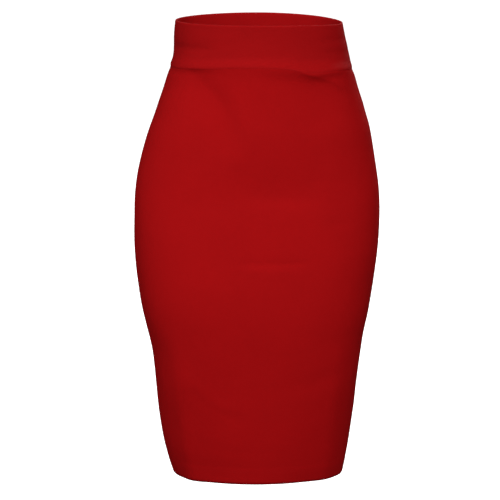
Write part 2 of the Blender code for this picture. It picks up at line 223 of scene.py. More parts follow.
def spline(knots, values, at):
    """Natural cubic spline: cubic arcs through the knots whose slope and bend run on."""
    gap = np.diff(knots)
    slope = np.diff(values) / gap
    count = len(knots)
    matrix = np.eye(count)
    right = np.zeros(count)
    inner = np.arange(1, count - 1)
    matrix[inner, inner - 1] = gap[:-1]
    matrix[inner, inner] = 2 * (gap[:-1] + gap[1:])
    matrix[inner, inner + 1] = gap[1:]
    right[inner] = 6 * np.diff(slope)
    bend = np.linalg.solve(matrix, right)
    span = np.clip(np.searchsorted(knots, at) - 1, 0, count - 2)
    step = at - knots[span]
    width = gap[span]
    start_slope = slope[span] - width * (2 * bend[span] + bend[span + 1]) / 6
    curl = (bend[span + 1] - bend[span]) / (6 * width)
    return values[span] + step * (start_slope + step * (bend[span] / 2 + step * curl))


def fade(value):
    """Smooth step: 0 below 0, 1 above 1, and t * t * (3 - 2t) between."""
    t = np.clip(value, 0.0, 1.0)
    return t * t * (3 - 2 * t)


def bell(offset, upper, lower=None):
    """Height of a bell at an offset from its crest: a third of it is left at its width."""
    width = np.where(offset < 0, upper, upper if lower is None else lower)
    return np.exp(-(offset / width) ** 2)


def fold_relief(folds, across, down):
    """Sum of the folds: across each one a bell, along it a hump.

    The hump comes and goes over a third of the fold's length at each end, and its crest is
    bowed by a parabola.
    """
    height = np.zeros(np.broadcast(across, down).shape)
    for fold in folds:
        run = np.array([fold.to_across - fold.across, fold.to_down - fold.down])
        length = np.hypot(*run)
        run = run / length
        right, below = across - fold.across, down - fold.down
        along = (right * run[0] + below * run[1]) / length
        off = below * run[0] - right * run[1] - fold.bow * 4 * along * (1 - along)
        ends = fade(3 * along) * fade(3 * (1 - along))
        height += fold.rise * ends * bell(off, fold.upper, fold.lower)
    return height


def swell(points):
    """Low unevenness: a sum of sine waves in many directions through space, longer ones higher."""
    rng = np.random.default_rng(SWELL_SEED)
    height = np.zeros(points.shape[:-1])
    for _ in range(SWELLS):
        direction = rng.normal(size=3)
        direction /= np.linalg.norm(direction)
        length = SWELL_SHORT * (SWELL_LONG / SWELL_SHORT) ** rng.random()
        phase = rng.random() * 2 * math.pi
        height += length / SWELL_LONG * np.sin(points @ direction * 2 * math.pi / length + phase)
    return height * SWELL_RISE


# ---------------------------------------------------------------- the form of the cloth

RING = 640                  # columns all round, from the wearer's right side seam over the front
HALF = RING // 2
TRACE = 720                 # fine points round a section, to measure the cloth along it
FOLD_STEPS = 8              # round the half circle of a fold

Form = namedtuple("Form", "downs points normals half_girth")


def section_outline(table, angle):
    """x and y round a section: an ellipse with its own front and back, filled out diagonally."""
    along, depth = np.cos(angle), np.sin(angle)
    reach = 1 + table["fullness"] * np.sin(2 * angle) ** 2
    side = np.where(depth > 0, table["back"], table["front"])
    return table["centre"] + table["half_width"] * along * reach, side * depth * reach


def sag(down, angle):
    """How far the cloth hangs below its level: all of it at the side seams, by cosine squared."""
    edge = np.where(np.cos(angle) > 0, EDGE_SAG.left, EDGE_SAG.right)
    seam = np.where(np.cos(angle) > 0, SEAM_SAG.left, SEAM_SAG.right)
    on_band = edge + (seam - edge) * down / BAND_HEIGHT
    on_panel = seam * (1 - fade((down - BAND_HEIGHT) / SAG_FADE))
    return np.where(down < BAND_HEIGHT, on_band, on_panel) * np.cos(angle) ** 2


def ring_normals(points):
    """Unit normals of a closed ring of columns: across times down, by central differences."""
    down = np.gradient(points, axis=0)
    right = np.roll(points, -1, axis=1) - np.roll(points, 1, axis=1)
    normal = np.cross(down, right)
    return normal / np.linalg.norm(normal, axis=-1, keepdims=True)


def read_marks(marks, across):
    """The marks' values between them, as a seam mark of arrays, along cubic arcs."""
    table = np.array(marks)
    values = [spline(table[:, 0], column, np.clip(across, table[0, 0], table[-1, 0]))
              for column in table[:, 1:].T]
    return SeamMark(across, *values)


def seam_relief(marks, across, down):
    """The waist seam's roll less its ditch: bells about its crest and just below the seam line."""
    mark = read_marks(marks, across)
    below = down - BAND_HEIGHT
    return (mark.roll * bell(below + mark.crest, mark.upper, mark.lower)
            - mark.ditch * bell(below - DITCH_BELOW, DITCH_WIDTH, DITCH_RECOVERY))


def seam_drop(marks, across, down):
    """How far the cloth hangs lower near the seam: its drop there, less towards both edges."""
    above = down / BAND_HEIGHT
    below = 1 - fade((down - BAND_HEIGHT) / DROP_FADE)
    return read_marks(marks, across).drop * np.where(down < BAND_HEIGHT, above, below)


def hem_relief(down):
    """The hem: the cloth stands out where it is doubled, then leans in and rounds at its edge."""
    below = down - TURNED_EDGE
    return (HEM_STAND * fade((below + HEM_STEP_ABOVE) / HEM_STEP)
            - HEM_LEAN * fade(below / HEM_TURN)
            - HEM_ROUND * bell(down - LENGTH, HEM_ROUND_WIDTH))


def make_form(sections, downs):
    """The cloth's outer face at the given depths, all round, as a fine grid.

    Each section is traced finely, its front and back halves are divided into even lengths of
    cloth, and every point is then moved along its normal by the folds, seams and swells. Near
    the waist seam it moves level instead, so that both pieces of cloth still meet there.
    """
    table = np.array(sections)
    named = {name: spline(table[:, 0], table[:, i], downs)[:, None]
             for i, name in enumerate(Section._fields) if i}
    trace = np.linspace(-math.pi, math.pi, TRACE + 1)[None] + 0 * downs[:, None]
    x, y = section_outline(named, trace)
    run = np.cumsum(np.hypot(np.diff(x), np.diff(y)), axis=1)
    run = np.concatenate([0 * downs[:, None], run], axis=1)
    front, whole = run[:, TRACE // 2, None], run[:, -1:]
    share = np.arange(HALF)[None] / HALF
    wanted = np.concatenate([share * front, front + share * (whole - front)], axis=1)
    row_offset = np.arange(len(downs))[:, None] * (run.max() + 1)
    angle = np.interp((wanted + row_offset).ravel(), (run + row_offset).ravel(), trace.ravel())
    angle = angle.reshape(wanted.shape)
    x, y = section_outline(named, angle)
    down = downs[:, None]
    points = np.stack([x, y, -(down + sag(down, angle))], axis=-1)

    on_front = np.arange(RING)[None] < HALF
    across = wanted - np.where(on_front, front / 2, (front + whole) / 2)
    half_girth = np.concatenate([front / 2, (whole - front) / 2], axis=1)
    to_seam = np.where(on_front, half_girth[:, :1], half_girth[:, 1:]) - np.abs(across)
    relief = hem_relief(down) + swell(points) - SIDE_DITCH * bell(to_seam, SIDE_DITCH_WIDTH)
    for half, folds, marks in ((slice(0, HALF), FRONT_FOLDS, FRONT_SEAM),
                               (slice(HALF, RING), BACK_FOLDS, BACK_SEAM)):
        points[:, half, 2] -= seam_drop(marks, across[:, half], down)
        relief[:, half] += fold_relief(folds, across[:, half], down)
        relief[:, half] += seam_relief(marks, across[:, half], down)
    outwards = ring_normals(points)
    outwards[..., 2] *= fade(abs(down - BAND_HEIGHT) / SEAM_LEVEL)
    outwards /= np.linalg.norm(outwards, axis=-1, keepdims=True)
    points = points + outwards * relief[..., None]
    return Form(downs, points, ring_normals(points), half_girth)


def on_form(form, down, column, depth):
    """Points at a depth under the form, read between its grid points."""
    down, column, depth = np.broadcast_arrays(down, column, depth)
    row = np.interp(down, form.downs, np.arange(len(form.downs)))
    row = np.minimum(row, len(form.downs) - 1.001)      # always with a row below it
    i, j = np.floor(row).astype(int), np.floor(column).astype(int)
    u, v = (row - i)[..., None], (column - j)[..., None]
    left, right = j % RING, (j + 1) % RING

    def read(grid):
        top = grid[i, left] * (1 - v) + grid[i, right] * v
        return top * (1 - u) + (grid[i + 1, left] * (1 - v) + grid[i + 1, right] * v) * u

    return read(form.points) - read(form.normals) * depth[..., None]


# ---------------------------------------------------------------- meshes


def put_mesh(name, points, quads, uv=None):
    """A smooth mesh object at the origin, from a list of points, quads and UV places."""
    mesh = bpy.data.meshes.new(name)
    quads = np.ascontiguousarray(quads, dtype=np.int32).reshape(-1, 4)
    mesh.vertices.add(len(points))
    mesh.vertices.foreach_set("co", np.asarray(points, np.float32).ravel())
    mesh.loops.add(quads.size)
    mesh.loops.foreach_set("vertex_index", quads.ravel())
    mesh.polygons.add(len(quads))
    mesh.polygons.foreach_set("loop_start", np.arange(0, quads.size, 4, dtype=np.int32))
    mesh.update(calc_edges=True)
    mesh.validate()
    mesh.shade_smooth()
    if uv is not None:
        layer = mesh.uv_layers.new(name="cloth")
        layer.data.foreach_set("uv", np.asarray(uv, np.float32)[quads.ravel()].ravel())
    obj = bpy.data.objects.new(name, mesh)
    bpy.context.scene.collection.objects.link(obj)
    return obj


def grid_quads(index):
    """Quads between neighbours of a grid of point numbers, facing out when rows run down."""
    corners = (index[:-1, :-1], index[1:, :-1], index[1:, 1:], index[:-1, 1:])
    return np.stack(corners, axis=-1).reshape(-1, 4)


def closed_sheet(name, outer, inner, uv):
    """A shell between two grids of the same size, with a narrow strip round all four edges."""
    rows, columns = outer.shape[:2]
    a = np.arange(rows * columns).reshape(rows, columns)
    b = a + rows * columns
    quads = [grid_quads(a), grid_quads(b)[:, ::-1]]
    for edge_a, edge_b in ((a[0], b[0]), (a[-1, ::-1], b[-1, ::-1]),
                           (a[::-1, 0], b[::-1, 0]), (a[:, -1], b[:, -1])):
        quads.append(np.stack([edge_a[:-1], edge_a[1:], edge_b[1:], edge_b[:-1]], -1))
    points = np.concatenate([outer.reshape(-1, 3), inner.reshape(-1, 3)])
    return put_mesh(name, points, np.concatenate(quads), np.concatenate([uv.reshape(-1, 2)] * 2))


def folded_path(straight, turn_at, turned, radius):
    """Middle line of a folded layer, as downs and depths: one layer, a half circle, the other.

    straight and turned are the downs of both layers, and turn_at is how far down the fold's
    crown reaches, where a negative radius folds at the top.
    """
    swing = np.linspace(0, math.pi, FOLD_STEPS + 1)[1:-1]
    down = np.concatenate([straight, turn_at - radius + radius * np.sin(swing), turned])
    depth = np.concatenate([0 * straight, abs(radius) * (1 - np.cos(swing)),
                            2 * abs(radius) + 0 * turned])
    return down, depth + CLOTH / 2


def cloth_piece(name, form, down, depth, columns, first, thick=CLOTH):
    """One layer of cloth whose middle follows a path of downs and depths, carried across.

    Its two faces lie half its thickness to either side of the path. Its UV place is across from
    the centre line of the half that begins at ring column first, and along the path, in metres.
    """
    step_down, step_depth = np.gradient(down), np.gradient(depth)
    size = np.hypot(step_down, step_depth)
    lean_down, lean_depth = -step_depth / size * thick / 2, step_down / size * thick / 2
    columns = np.broadcast_to(columns, (len(down), np.shape(columns)[-1]))
    faces = []
    for side in (-1, 1):
        at_down = (down + side * lean_down)[:, None]
        at_depth = (depth + side * lean_depth)[:, None]
        faces.append(on_form(form, at_down, columns, at_depth))
    along = np.concatenate([[0], np.cumsum(np.hypot(np.diff(down), np.diff(depth)))])
    half = np.interp(down, form.downs, form.half_girth[:, 0 if first == 0 else 1])
    across = (columns - first - HALF / 2) / (HALF / 2) * half[:, None]
    uv = np.stack([across, -along[:, None] + 0 * across], axis=-1)
    return closed_sheet(name, faces[0], faces[1], uv)


def tube(name, path, radius, sides, closed):
    """A thread: a circle of the given radius carried along a path, turned with its direction."""
    if closed:
        ahead = np.roll(path, -1, axis=0) - np.roll(path, 1, axis=0)
    else:
        ahead = np.gradient(path, axis=0)
    ahead /= np.linalg.norm(ahead, axis=1, keepdims=True)
    side = np.cross(ahead, [0.0, 0.0, 1.0]) + 1e-6      # never nothing, even straight down
    side /= np.linalg.norm(side, axis=1, keepdims=True)
    lift = np.cross(side, ahead)
    turn = np.linspace(0, 2 * math.pi, sides, endpoint=False)[None, :, None]
    ring = path[:, None] + radius * (np.cos(turn) * side[:, None] + np.sin(turn) * lift[:, None])
    index = np.arange(len(path) * sides).reshape(len(path), sides)
    index = np.concatenate([index, index[:, :1]], axis=1)
    if closed:
        index = np.concatenate([index, index[:1]])
    quads = [grid_quads(index)]
    if not closed:
        fan = np.arange(1, sides - 1, 2)
        for end, order in ((index[0, :sides], 1), (index[-1, :sides], -1)):
            cap = (end[0] + 0 * fan, end[fan], end[fan + 1], end[(fan + 2) % sides])
            quads.append(np.stack(cap, axis=-1)[:, ::order])
    return put_mesh(name, ring.reshape(-1, 3), np.concatenate(quads))


# ---------------------------------------------------------------- the knit

RED = (0.455, 0.0016, 0.0028)
BAND_RED_PAINTED_SHADE = (0.388, 0.0014, 0.0025)      # darker copy of RED: painted shade on the waistband
THREAD_RED = (0.42, 0.004, 0.006)

WALES, COURSES = 1400.0, 1900.0         # of the knit's stitches, to a metre
STITCH_RELIEF = 0.00012
STITCH_BUMP = 0.5                       # share of that relief which the light shows
KNIT_ROUGHNESS = 0.86
KNIT_SHEEN = 0.12

# How the stitches are drawn: rows stray by a share of a stitch, in so many waves to a metre, the
# legs lag by their distance from the middle of a wale times a number, and a share of their height
# swells. Painted shade darkens the gaps between the legs, and painted light brightens the legs as
# their height grows.
STRAY, STRAY_WAVES = 0.5, 240.0
LEG_LAG = 1.6
LEG_SWELL = 0.28
GAP_PAINTED_SHADE, LEG_PAINTED_LIGHT = 0.90, 0.16

# Slow and fine changes of the dye: waves to a metre, and how far they change the shade.
SLOW_MOTTLE = {"Size": 14.0, "Amount": 0.10}
FINE_MOTTLE = {"Size": 260.0, "Amount": 0.10}


def make_group(name, inputs, outputs):
    """An empty shader node group with the named inputs, their defaults and the named outputs."""
    group = bpy.data.node_groups.new(name, "ShaderNodeTree")
    for label, kind, default in inputs:
        socket = group.interface.new_socket(label, in_out="INPUT", socket_type=kind)
        if default is not None:
            socket.default_value = default
    for label, kind in outputs:
        group.interface.new_socket(label, in_out="OUTPUT", socket_type=kind)
    return group, group.nodes.new("NodeGroupInput"), group.nodes.new("NodeGroupOutput")


def calc(tree, operation, *values):
    """A math node fed by numbers or sockets, and its result's socket."""
    node = tree.nodes.new("ShaderNodeMath")
    node.operation = operation
    for socket, value in zip(node.inputs, values):
        if isinstance(value, bpy.types.NodeSocket):
            tree.links.new(value, socket)
        else:
            socket.default_value = value
    return node.outputs[0]


def knit_face_group():
    """The face of plain knit, from a place on the cloth in metres.

    Each wale holds two yarn legs, sin squared across it. Along the wale the legs swell by a
    cosine whose phase lags towards the wale's sides, which makes rows of V shapes.
    """
    group, given, result = make_group(
        "knit_face",
        (("Place", "NodeSocketVector", None), ("Wales", "NodeSocketFloat", WALES),
         ("Courses", "NodeSocketFloat", COURSES)),
        (("Height", "NodeSocketFloat"), ("Shade", "NodeSocketFloat")))
    split = group.nodes.new("ShaderNodeSeparateXYZ")
    group.links.new(given.outputs["Place"], split.inputs[0])
    wander = group.nodes.new("ShaderNodeTexNoise")
    wander.inputs["Scale"].default_value = STRAY_WAVES
    group.links.new(given.outputs["Place"], wander.inputs["Vector"])
    stray = calc(group, "MULTIPLY", calc(group, "SUBTRACT", wander.outputs[0], 0.5), STRAY)

    across = calc(group, "MULTIPLY", split.outputs[0], given.outputs["Wales"])
    wale = calc(group, "ADD", across, stray)
    along = calc(group, "MULTIPLY", split.outputs[1], given.outputs["Courses"])
    course = calc(group, "ADD", along, stray)
    aside = calc(group, "ABSOLUTE", calc(group, "SUBTRACT", calc(group, "FRACT", wale), 0.5))
    sine = calc(group, "SINE", calc(group, "MULTIPLY", aside, 2 * math.pi))
    leg = calc(group, "POWER", sine, 2.0)
    lag = calc(group, "SUBTRACT", course, calc(group, "MULTIPLY", aside, LEG_LAG))
    beat = calc(group, "COSINE", calc(group, "MULTIPLY", lag, 2 * math.pi))
    swelling = calc(group, "ADD", calc(group, "MULTIPLY", beat, LEG_SWELL), 1 - LEG_SWELL)
    height = calc(group, "MULTIPLY", leg, swelling)
    # painted shade in the gaps between the legs and painted light on them, by their height
    shade = calc(group, "ADD", calc(group, "MULTIPLY", height, LEG_PAINTED_LIGHT), GAP_PAINTED_SHADE)
    group.links.new(height, result.inputs["Height"])
    group.links.new(shade, result.inputs["Shade"])
    return group


def soft_mottle_group():
    """Changes of dye and nap over the cloth: noise of one size, about a mean of one."""
    group, given, result = make_group(
        "soft_mottle",
        (("Place", "NodeSocketVector", None),
         ("Size", "NodeSocketFloat", SLOW_MOTTLE["Size"]),
         ("Amount", "NodeSocketFloat", SLOW_MOTTLE["Amount"])),
        (("Shade", "NodeSocketFloat"),))
    noise = group.nodes.new("ShaderNodeTexNoise")
    noise.inputs["Detail"].default_value = 3.0
    group.links.new(given.outputs["Place"], noise.inputs["Vector"])
    group.links.new(given.outputs["Size"], noise.inputs["Scale"])
    centred = calc(group, "SUBTRACT", noise.outputs[0], 0.5)
    shade = calc(group, "ADD", calc(group, "MULTIPLY", centred, given.outputs["Amount"]), 1.0)
    group.links.new(shade, result.inputs["Shade"])
    return group


KNIT_FACE = knit_face_group()
SOFT_MOTTLE = soft_mottle_group()


def group_node(tree, group, place, **values):
    """A node that uses the group at a place on the cloth, with its own values."""
    node = tree.nodes.new("ShaderNodeGroup")
    node.node_tree = group
    tree.links.new(place, node.inputs["Place"])
    for label, value in values.items():
        node.inputs[label].default_value = value
    return node


def knit_material(name, colour):
    """Matt stretch knit of one colour, whose stitches follow the cloth's own UV in metres."""
    material = bpy.data.materials.new(name)
    material.use_nodes = True
    tree = material.node_tree
    shader = tree.nodes["Principled BSDF"]
    shader.inputs["Specular IOR Level"].default_value = KNIT_SHEEN
    shader.inputs["Roughness"].default_value = KNIT_ROUGHNESS
    on_cloth = tree.nodes.new("ShaderNodeUVMap")
    on_cloth.uv_map = "cloth"
    in_space = tree.nodes.new("ShaderNodeTexCoord")
    knit = group_node(tree, KNIT_FACE, on_cloth.outputs[0], Wales=WALES, Courses=COURSES)
    slow = group_node(tree, SOFT_MOTTLE, in_space.outputs["Object"], **SLOW_MOTTLE)
    fine = group_node(tree, SOFT_MOTTLE, in_space.outputs["Object"], **FINE_MOTTLE)
    # the knit's painted shade and light, times the dye's random mottle
    shade = calc(tree, "MULTIPLY", knit.outputs["Shade"], slow.outputs["Shade"])
    shade = calc(tree, "MULTIPLY", shade, fine.outputs["Shade"])
    tint = tree.nodes.new("ShaderNodeMix")
    tint.data_type = "RGBA"
    tint.blend_type = "MULTIPLY"
    tint.inputs["Factor"].default_value = 1.0
    tint.inputs[6].default_value = (*colour, 1.0)
    tree.links.new(shade, tint.inputs[7])
    tree.links.new(tint.outputs[2], shader.inputs["Base Color"])
    bump = tree.nodes.new("ShaderNodeBump")
    bump.inputs["Strength"].default_value = STITCH_BUMP
    bump.inputs["Distance"].default_value = STITCH_RELIEF
    tree.links.new(knit.outputs["Height"], bump.inputs["Height"])
    tree.links.new(bump.outputs[0], shader.inputs["Normal"])
    return material


PLIES = 900.0                           # wave scale of the plies twisted into a thread
PLY_RELIEF = 0.00005
PLY_BUMP = 0.4
PLY_PAINTED_SHADE, PLY_PAINTED_LIGHT = 0.75, 1.15        # painted shade between plies, painted light on them
THREAD_ROUGHNESS = 0.6
THREAD_SHEEN = 0.3


def thread_material(name, colour):
    """Spun polyester sewing thread: plies as slanting waves in space, and a slight gloss."""
    material = bpy.data.materials.new(name)
    material.use_nodes = True
    tree = material.node_tree
    shader = tree.nodes["Principled BSDF"]
    shader.inputs["Roughness"].default_value = THREAD_ROUGHNESS
    shader.inputs["Specular IOR Level"].default_value = THREAD_SHEEN
    in_space = tree.nodes.new("ShaderNodeTexCoord")
    plies = tree.nodes.new("ShaderNodeTexWave")
    plies.bands_direction = "DIAGONAL"
    plies.inputs["Scale"].default_value = PLIES
    tree.links.new(in_space.outputs["Object"], plies.inputs["Vector"])
    # The ramp paints shade between the plies and light on their crests, as shares of the colour.
    ramp = tree.nodes.new("ShaderNodeValToRGB")
    for end, share in zip(ramp.color_ramp.elements, (PLY_PAINTED_SHADE, PLY_PAINTED_LIGHT)):
        end.color = (*(share * part for part in colour), 1.0)
    tree.links.new(plies.outputs["Color"], ramp.inputs[0])
    tree.links.new(ramp.outputs[0], shader.inputs["Base Color"])
    bump = tree.nodes.new("ShaderNodeBump")
    bump.inputs["Strength"].default_value = PLY_BUMP
    bump.inputs["Distance"].default_value = PLY_RELIEF
    tree.links.new(plies.outputs["Fac"], bump.inputs["Height"])
    tree.links.new(bump.outputs[0], shader.inputs["Normal"])
    return material


# The waistband's knit is a darker copy of the skirt's: painted shade.
band_knit_painted_shade = knit_material("waistband_knit", BAND_RED_PAINTED_SHADE)
skirt_knit = knit_material("skirt_knit", RED)
red_thread = thread_material("red_thread", THREAD_RED)

# ---------------------------------------------------------------- the skirt

SEAM_ROOM = 0.00001         # from the waist seam's line to the edge of the cloth on either side
EDGE_ROOM = 0.004           # ring columns left free at each side seam
FOLD_RADIUS = (CLOTH + LAYER_GAP) / 2
CUT_ANGLE = 60              # degrees; edges sharper than this, as at a cut, stay crisp

# Rows lie closest beside the waist seam, wider in the long middle, and closer again at the hem.
SEAM_TOP = 0.0500           # down to where the close rows of the waist seam begin
SEAM_FOOT = 0.0780          # and where they end
FORM_LAP = 0.0030           # how far each form runs on past the waist seam
FORM_MIDDLE = (0.1250, 0.6550)
CLOTH_MIDDLE = (0.1200, 0.6600)
INSIDE_ROW = 0.0022         # height of a row of the inner layers
INNER_SHORT = 0.0010        # how much shorter than the outer layer the waistband's inner one is

# Ring columns beside each side seam, counted from it. Between them the middle of a half is filled
# evenly.
SIDE_COLUMNS = (EDGE_ROOM, 0.5, 0.9, 1.4, 2.0, 2.8, 3.8, 5.2, 7.0)
MIDDLE_START = 9.0
MIDDLE_COLUMNS = 140


def steps(start, end, size):
    """Evenly spaced places from start to end, about a size apart."""
    return np.linspace(start, end, max(2, int(round(abs(end - start) / size)) + 1))


def rows(places, sizes):
    """Depths from each place to the next in even steps, each stretch with its own step size."""
    stretches = [steps(*stretch)[:-1] for stretch in zip(places, places[1:], sizes)]
    return np.append(np.concatenate(stretches), places[-1])


band_form = make_form(BAND_SECTIONS, rows((0.0, SEAM_TOP, BAND_HEIGHT + FORM_LAP),
                                          (0.0010, 0.0005)))
panel_form = make_form(PANEL_SECTIONS,
                       rows((BAND_HEIGHT - FORM_LAP, SEAM_FOOT, *FORM_MIDDLE, LENGTH),
                            (0.0005, 0.0010, 0.0025, 0.0010)))


def band_path():
    """Up the inside of the waistband, over its top fold and down to the waist seam."""
    top = CLOTH / 2
    fold_centre = top + FOLD_RADIUS
    outer = rows((BAND_HEIGHT - SEAM_ROOM, SEAM_TOP, fold_centre), (0.0006, 0.0011))[:-1]
    inner = steps(fold_centre, BAND_HEIGHT - INNER_SHORT, INSIDE_ROW)[1:]
    down, depth = folded_path(outer, top, inner, -FOLD_RADIUS)
    return down[::-1], depth[::-1]


def panel_path():
    """Down the panel from the waist seam, round the hem's fold and up inside."""
    crown = LENGTH - CLOTH / 2
    fold_centre = crown - FOLD_RADIUS
    outer = rows((BAND_HEIGHT + SEAM_ROOM, SEAM_FOOT, *CLOTH_MIDDLE, fold_centre),
                 (0.0006, 0.0014, 0.0042, 0.0016))[:-1]
    inner = steps(fold_centre, TURNED_EDGE, INSIDE_ROW)[1:]
    return folded_path(outer, crown, inner, FOLD_RADIUS)


def half_columns(first):
    """Ring columns across one half, closer together beside the side seams."""
    near = np.array(SIDE_COLUMNS)
    middle = np.linspace(MIDDLE_START, HALF - MIDDLE_START, MIDDLE_COLUMNS)
    return first + np.concatenate([near, middle, HALF - near[::-1]])


def finish_cloth(obj, material):
    """Gives a cloth piece its knit and its body, with crisp cut edges."""
    obj.data.materials.append(material)
    obj.data.set_sharp_from_angle(angle=math.radians(CUT_ANGLE))
    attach(obj, "root")


for side, first in (("front", 0), ("back", HALF)):
    for part, form, path, material in (("waistband", band_form, band_path(), band_knit_painted_shade),
                                       ("skirt", panel_form, panel_path(), skirt_knit)):
        obj = cloth_piece(f"{part}_{side}_cloth", form, *path, half_columns(first), first)
        finish_cloth(obj, material)
        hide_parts(f"{part}_{side}")

# ---------------------------------------------------------------- seam allowances and threads

ALLOWANCE_THICK = 0.0022    # of an overlocked seam allowance
ALLOWANCE_CLEAR = 0.0001    # between a side seam's allowance and the panel
ALLOWANCE_COLUMNS = 161     # of the waist seam's allowance, on each half
SIDE_TOP = 0.0030           # from the waist seam down to a side seam's allowance
SIDE_FOOT = 0.0002          # from its lower end down to the turned-up edge of the hem
SIDE_ROW = 0.0060

# The waist seam's allowance from its cut edge down: how far above the seam line each place lies
# (below it, if negative), and how deep. Then a side seam's: how far each place lies on the back,
# from the seam (on the front, if negative) to the cut edge.
AllowancePlace = namedtuple("AllowancePlace", "above depth")

WAIST_ALLOWANCE = (
    AllowancePlace(0.0082, 0.0043),
    AllowancePlace(0.0070, 0.0042),
    AllowancePlace(0.0054, 0.0041),
    AllowancePlace(0.0034, 0.0040),
    AllowancePlace(0.0014, 0.0039),
    AllowancePlace(0.0002, 0.0036),
    AllowancePlace(-0.0006, 0.0030),
    AllowancePlace(-0.0012, 0.0026),
)
SIDE_ALLOWANCE = (-0.0012, 0.0010, 0.0030, 0.0050, 0.0070, 0.0085)

# An overlocked edge: where its loops wrap round the cut edge, how far they reach in from there,
# and where its needle line lies. The places count up from the waist seam, down from the hem's
# turned-up edge, and away from a side seam.
Overlock = namedtuple("Overlock", "edge width needle")

WAIST_OVERLOCK = Overlock(edge=0.0086, width=0.0052, needle=0.0034)
HEM_OVERLOCK = Overlock(edge=-0.0002, width=0.0050, needle=0.0048)
SIDE_OVERLOCK = Overlock(edge=0.0087, width=0.0050, needle=0.0036)
OVERLOCK_PITCH = 0.0030
WRAP = 6                    # a loop wraps the edge in the last sixth of its swing
NEEDLE_MIDDLE = 0.0041      # depth of the waist allowance's middle at its needle line
NEEDLE_DIP = 0.00010        # how far a needle line goes in and out, once for each stitch
SIDE_WRAP = 0.0008          # how far a side seam's loops go out round its cut edge
SIDE_THREAD_TOP = 0.0032    # from the waist seam down to a side seam's threads
SIDE_THREAD_FOOT = 0.0008   # from their lower end down to the turned-up edge of the hem

# The hem's blind stitches: how far below the turned-up edge, how deep the thread runs, how far it
# comes out to catch a yarn of the outer layer, and over which share of a stitch.
BLIND_BELOW = 0.0015
BLIND_DEPTH = 0.0007
BLIND_CATCH = 0.00072
BLIND_SHARE = 0.10
BLIND_PITCH = 0.0080

THREAD = 0.00016            # radius of the overlock thread
FINE_THREAD = 0.00012       # and of the blind stitches'
THREAD_SIDES = 6
STITCH_POINTS = 6           # points along each stitch


def seam_column(form, seam, down, distance):
    """Ring column at a distance from a side seam, positive on the back."""
    per_column = np.interp(down, form.downs, form.half_girth[:, 1]) * 2 / HALF
    return seam + (1 if seam == HALF else -1) * distance / per_column


def waist_allowance(side, first):
    """Both layers of the waist seam's allowance on one half, folded up into the waistband."""
    above, depth = np.array(WAIST_ALLOWANCE).T
    columns = first + np.linspace(EDGE_ROOM, HALF - EDGE_ROOM, ALLOWANCE_COLUMNS)
    return cloth_piece(f"waist_seam_allowance_{side}", band_form, BAND_HEIGHT - above, depth,
                       columns, first, ALLOWANCE_THICK)


def side_allowance(side, seam):
    """Both layers of one side seam's allowance, folded to the back."""
    down = steps(BAND_HEIGHT + SIDE_TOP, TURNED_EDGE - SIDE_FOOT, SIDE_ROW)
    away = np.array(SIDE_ALLOWANCE)[::1 if seam == HALF else -1]
    columns = seam_column(panel_form, seam, down[:, None], away[None])
    depth = CLOTH + ALLOWANCE_CLEAR + ALLOWANCE_THICK / 2 + 0 * down
    return cloth_piece(f"side_seam_allowance_{side}", panel_form, down, depth,
                       columns, HALF, ALLOWANCE_THICK)


allowances = [waist_allowance("front", 0), waist_allowance("back", HALF),
              side_allowance("left", HALF), side_allowance("right", RING)]
for obj in allowances:
    finish_cloth(obj, skirt_knit)


def zigzag(stitch):
    """Straight up from 0 to 1 and down again, once for each stitch."""
    return 1 - np.abs(stitch % 1 * 2 - 1)


def dip(stitch):
    """How far a needle line goes in and out: a cosine, once for each stitch."""
    return NEEDLE_DIP * np.cos(2 * math.pi * stitch)


def catch(stitch):
    """How far a blind stitch comes out to catch a yarn: a bell in the middle of each stitch."""
    return BLIND_CATCH * bell(stitch % 1 - 0.5, BLIND_SHARE)


def ring_thread(name, form, down, depth, pitch=OVERLOCK_PITCH, radius=THREAD):
    """A thread all round the skirt, whose down and depth are functions of stitches passed."""
    count = int(round(2 * form.half_girth[-1].sum() / pitch))
    stitch = np.arange(count * STITCH_POINTS) / STITCH_POINTS
    path = on_form(form, down(stitch), stitch / count * RING, depth(stitch))
    return tube(name, path, radius, THREAD_SIDES, closed=True)


def side_thread(name, seam, away, depth):
    """A thread down one side seam's allowance, whose place is a function of stitches passed."""
    count = int(round((TURNED_EDGE - BAND_HEIGHT) / OVERLOCK_PITCH))
    stitch = np.arange(count * STITCH_POINTS + 1) / STITCH_POINTS
    top, foot = BAND_HEIGHT + SIDE_THREAD_TOP, TURNED_EDGE - SIDE_THREAD_FOOT
    down = top + stitch / count * (foot - top)
    path = on_form(panel_form, down, seam_column(panel_form, seam, down, away(stitch)),
                   depth(stitch))
    return tube(name, path, THREAD, THREAD_SIDES, closed=False)


# Depth of the inner faces that the threads lie on: of the turned-up hem, and of a side seam's
# allowance.
TURNED_FACE = 2 * CLOTH + LAYER_GAP
SIDE_FACE = CLOTH + ALLOWANCE_CLEAR + ALLOWANCE_THICK

